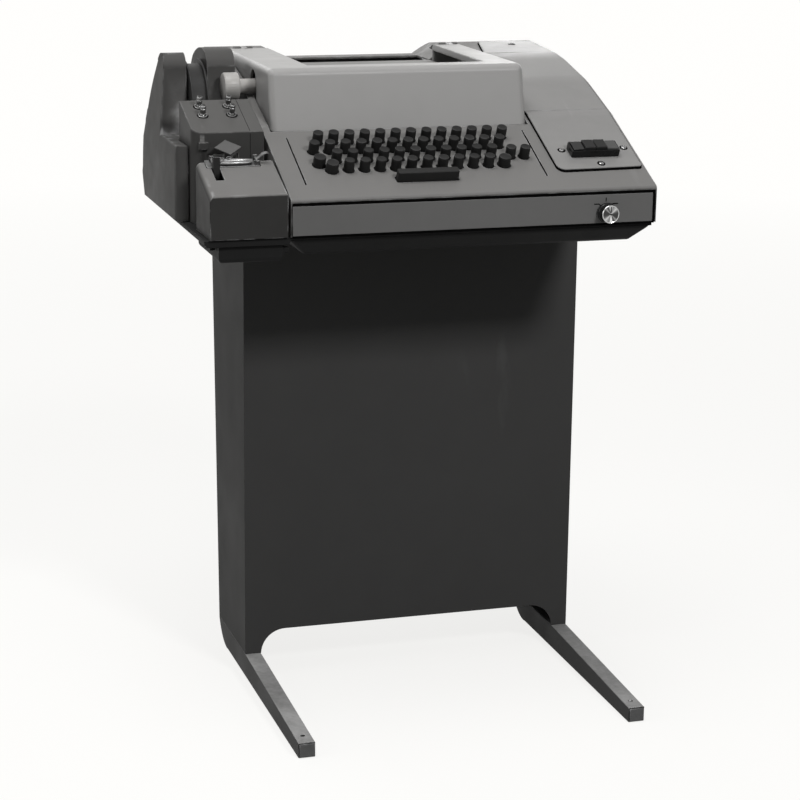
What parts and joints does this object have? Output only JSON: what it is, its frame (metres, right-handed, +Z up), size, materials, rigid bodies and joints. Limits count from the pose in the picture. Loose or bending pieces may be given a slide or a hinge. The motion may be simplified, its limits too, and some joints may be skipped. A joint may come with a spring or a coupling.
{
  "type": "teleprinter",
  "caption": "Floor-standing teleprinter: keyboard, lidded printer with platen knob, tape reader and punch at the left, on a folded steel stand with two feet.",
  "frame": {"origin": "centre of the whole teleprinter's bounding box, on the floor", "axes": "+X to the machine's right, +Y to its back, +Z up"},
  "size_m": [0.554, 0.5, 0.8141],
  "materials": {
    "stand_paint": "dark grey stoved paint, semi-gloss",
    "cover_grey": "moulded mid grey, fine texture",
    "lid_grey": "moulded light grey, smooth",
    "tape_grey": "moulded dark grey, fine texture",
    "plate_grey": "smooth grey, glossy",
    "pan_black": "black paint",
    "fascia_grey": "brushed and painted plate",
    "key_grey": "dark grey, dished tops",
    "black_plastic": "black, glossy",
    "cream_plastic": "off-white, satin",
    "bright_steel": "machined steel",
    "chrome_trim": "polished",
    "platen_rubber": "ground rubber roller",
    "reel_grey": "dark reel",
    "switch_brown": "moulded insulator"
  },
  "bodies": {
    "machine": {"stand_column": "stand_paint", "stand_back_panel": "stand_paint", "left_foot": "stand_paint", "right_foot": "stand_paint", "foot_plugs": "black_plastic", "fixing_screws": "bright_steel", "stand_bolts": "bright_steel", "base_pan": "pan_black", "tape_unit_shelf": "pan_black", "main_cover": "cover_grey", "front_fascia": "fascia_grey", "control_panel_plate": "plate_grey", "punch_cover": "tape_grey", "reader_cover": "cover_grey", "tape_well_cover": "tape_grey", "cable_gland": "black_plastic", "call_control_unit": "switch_brown", "panel_key_frame": "black_plastic", "tape_tear_guide": "tape_grey", "keyboard_frame": "bright_steel", "printer_frame": "bright_steel", "carriage_rails": "bright_steel", "motor": "bright_steel", "drive_belt": "platen_rubber", "punch_block": "bright_steel", "reader_block": "bright_steel"},
    "platen_assembly": {"platen": "platen_rubber", "platen_knob": "cream_plastic"},
    "printer_lid_body": {"printer_lid": "lid_grey"},
    "chad_box_body": {"chad_box": "pan_black"},
    "mode_knob_body": {"mode_knob": "black_plastic"},
    "panel_key_1_body": {"panel_key_1": "black_plastic"},
    "panel_key_2_body": {"panel_key_2": "key_grey"},
    "panel_key_3_body": {"panel_key_3": "key_grey"},
    "panel_key_4_body": {"panel_key_4": "black_plastic"},
    "punch_on_button_body": {"punch_on_button": "chrome_trim"},
    "punch_off_button_body": {"punch_off_button": "chrome_trim"},
    "punch_release_button_body": {"punch_release_button": "chrome_trim"},
    "punch_backspace_button_body": {"punch_backspace_button": "chrome_trim"},
    "reader_lever_body": {"reader_lever": "black_plastic"},
    "reader_tape_lid_body": {"reader_tape_lid": "chrome_trim"},
    "reader_lid_latch_body": {"reader_lid_latch": "chrome_trim"},
    "number_row_keys_body": {"number_row_keys": "key_grey"},
    "upper_letter_keys_body": {"upper_letter_keys": "key_grey"},
    "home_letter_keys_body": {"home_letter_keys": "key_grey"},
    "lower_letter_keys_body": {"lower_letter_keys": "key_grey"},
    "space_bar_body": {"space_bar": "key_grey"},
    "left_shift_key_body": {"left_shift_key": "key_grey"},
    "right_shift_key_body": {"right_shift_key": "key_grey"},
    "control_key_body": {"control_key": "key_grey"},
    "repeat_key_body": {"repeat_key": "key_grey"},
    "break_key_body": {"break_key": "key_grey"},
    "carriage_body": {"carriage": "bright_steel"},
    "type_wheel_body": {"type_wheel": "chrome_trim"},
    "left_ribbon_spool_body": {"left_ribbon_spool": "black_plastic"},
    "right_ribbon_spool_body": {"right_ribbon_spool": "black_plastic"},
    "motor_shaft_body": {"motor_shaft": "bright_steel"},
    "main_shaft_body": {"main_shaft": "bright_steel"},
    "paper_spindle_body": {"paper_spindle": "bright_steel"},
    "tape_reel_body": {"tape_reel": "reel_grey"}
  },
  "joints": [
    {"name": "number_row_keys_press", "type": "slide", "parent": "machine", "child": "number_row_keys_body", "axis": [0, 0.4067, -0.9135], "range_m": [0, 0.004], "stiffness_N_per_m": 1500},
    {"name": "upper_letter_keys_press", "type": "slide", "parent": "machine", "child": "upper_letter_keys_body", "axis": [0, 0.4067, -0.9135], "range_m": [0, 0.004], "stiffness_N_per_m": 1500},
    {"name": "home_letter_keys_press", "type": "slide", "parent": "machine", "child": "home_letter_keys_body", "axis": [0, 0.4067, -0.9135], "range_m": [0, 0.004], "stiffness_N_per_m": 1500},
    {"name": "lower_letter_keys_press", "type": "slide", "parent": "machine", "child": "lower_letter_keys_body", "axis": [0, 0.4067, -0.9135], "range_m": [0, 0.004], "stiffness_N_per_m": 1500},
    {"name": "space_bar_press", "type": "slide", "parent": "machine", "child": "space_bar_body", "axis": [0, 0.4067, -0.9135], "range_m": [0, 0.004], "stiffness_N_per_m": 400},
    {"name": "left_shift_key_press", "type": "slide", "parent": "machine", "child": "left_shift_key_body", "axis": [0, 0.4067, -0.9135], "range_m": [0, 0.004], "stiffness_N_per_m": 200},
    {"name": "right_shift_key_press", "type": "slide", "parent": "machine", "child": "right_shift_key_body", "axis": [0, 0.4067, -0.9135], "range_m": [0, 0.004], "stiffness_N_per_m": 200},
    {"name": "control_key_press", "type": "slide", "parent": "machine", "child": "control_key_body", "axis": [0, 0.4067, -0.9135], "range_m": [0, 0.004], "stiffness_N_per_m": 200},
    {"name": "repeat_key_press", "type": "slide", "parent": "machine", "child": "repeat_key_body", "axis": [0, 0.4067, -0.9135], "range_m": [0, 0.004], "stiffness_N_per_m": 200},
    {"name": "break_key_press", "type": "slide", "parent": "machine", "child": "break_key_body", "axis": [0, 0.4067, -0.9135], "range_m": [0, 0.004], "stiffness_N_per_m": 200},
    {"name": "panel_key_1_press", "type": "slide", "parent": "machine", "child": "panel_key_1_body", "axis": [0, 0.4067, -0.9135], "range_m": [0, 0.0025], "stiffness_N_per_m": 300},
    {"name": "panel_key_2_press", "type": "slide", "parent": "machine", "child": "panel_key_2_body", "axis": [0, 0.4067, -0.9135], "range_m": [0, 0.0025], "stiffness_N_per_m": 300},
    {"name": "panel_key_3_press", "type": "slide", "parent": "machine", "child": "panel_key_3_body", "axis": [0, 0.4067, -0.9135], "range_m": [0, 0.0025], "stiffness_N_per_m": 300},
    {"name": "panel_key_4_press", "type": "slide", "parent": "machine", "child": "panel_key_4_body", "axis": [0, 0.4067, -0.9135], "range_m": [0, 0.0025], "stiffness_N_per_m": 300},
    {"name": "punch_on_button_press", "type": "slide", "parent": "machine", "child": "punch_on_button_body", "axis": [0, 0.3502, -0.9367], "range_m": [0, 0.003], "stiffness_N_per_m": 300},
    {"name": "punch_off_button_press", "type": "slide", "parent": "machine", "child": "punch_off_button_body", "axis": [0, 0.3502, -0.9367], "range_m": [0, 0.003], "stiffness_N_per_m": 300},
    {"name": "punch_release_button_press", "type": "slide", "parent": "machine", "child": "punch_release_button_body", "axis": [0, 0.3502, -0.9367], "range_m": [0, 0.003], "stiffness_N_per_m": 300},
    {"name": "punch_backspace_button_press", "type": "slide", "parent": "machine", "child": "punch_backspace_button_body", "axis": [0, 0.3502, -0.9367], "range_m": [0, 0.003], "stiffness_N_per_m": 300},
    {"name": "chad_box_pull", "type": "slide", "parent": "machine", "child": "chad_box_body", "axis": [0, -1, 0], "range_m": [0, 0.06]},
    {"name": "carriage_travel", "type": "slide", "parent": "machine", "child": "carriage_body", "axis": [1, 0, 0], "range_m": [0, 0.183]},
    {"name": "printer_lid_hinge", "type": "hinge", "parent": "machine", "child": "printer_lid_body", "pos_m": [0, 0.1715, 0.8002], "axis": [-1, 0, 0], "range_deg": [0, 70]},
    {"name": "mode_knob_turn", "type": "hinge", "parent": "machine", "child": "mode_knob_body", "pos_m": [0.213, -0.22, 0.64], "axis": [0, 1, 0], "range_deg": [-45, 45]},
    {"name": "platen_turn", "type": "hinge", "parent": "machine", "child": "platen_assembly", "pos_m": [0, 0.002, 0.772], "axis": [1, 0, 0], "continuous": true},
    {"name": "type_wheel_turn", "type": "hinge", "parent": "carriage_body", "child": "type_wheel_body", "pos_m": [-0.097, -0.032, 0.757], "axis": [0, 0, 1], "continuous": true},
    {"name": "left_ribbon_spool_turn", "type": "hinge", "parent": "machine", "child": "left_ribbon_spool_body", "pos_m": [-0.109, -0.04, 0.78], "axis": [0, 0, 1], "continuous": true},
    {"name": "right_ribbon_spool_turn", "type": "hinge", "parent": "machine", "child": "right_ribbon_spool_body", "pos_m": [0.115, -0.04, 0.78], "axis": [0, 0, 1], "continuous": true},
    {"name": "motor_shaft_turn", "type": "hinge", "parent": "machine", "child": "motor_shaft_body", "pos_m": [0.053, 0.13, 0.684], "axis": [1, 0, 0], "continuous": true},
    {"name": "main_shaft_turn", "type": "hinge", "parent": "machine", "child": "main_shaft_body", "pos_m": [0.053, 0.04, 0.672], "axis": [1, 0, 0], "continuous": true},
    {"name": "reader_lever_swing", "type": "hinge", "parent": "machine", "child": "reader_lever_body", "pos_m": [-0.245, -0.163, 0.668], "axis": [1, 0, 0], "range_deg": [0, 34]},
    {"name": "reader_tape_lid_hinge", "type": "hinge", "parent": "machine", "child": "reader_tape_lid_body", "pos_m": [-0.2465, -0.15035, 0.70592], "axis": [0, -0.9367, -0.3502], "range_deg": [0, 100]},
    {"name": "reader_lid_latch_swing", "type": "hinge", "parent": "machine", "child": "reader_lid_latch_body", "pos_m": [-0.195, -0.15035, 0.70592], "axis": [0, -0.9367, -0.3502], "range_deg": [0, 40]},
    {"name": "tape_reel_turn", "type": "hinge", "parent": "machine", "child": "tape_reel_body", "pos_m": [-0.228, 0.05, 0.741], "axis": [1, 0, 0], "continuous": true},
    {"name": "paper_spindle_turn", "type": "hinge", "parent": "machine", "child": "paper_spindle_body", "pos_m": [0.025, 0.18, 0.77], "axis": [1, 0, 0], "continuous": true}
  ],
  "couplings": [
    {"joint": "right_ribbon_spool_turn", "follows": "left_ribbon_spool_turn", "ratio": 1},
    {"joint": "main_shaft_turn", "follows": "motor_shaft_turn", "ratio": 0.41667}
  ]
}
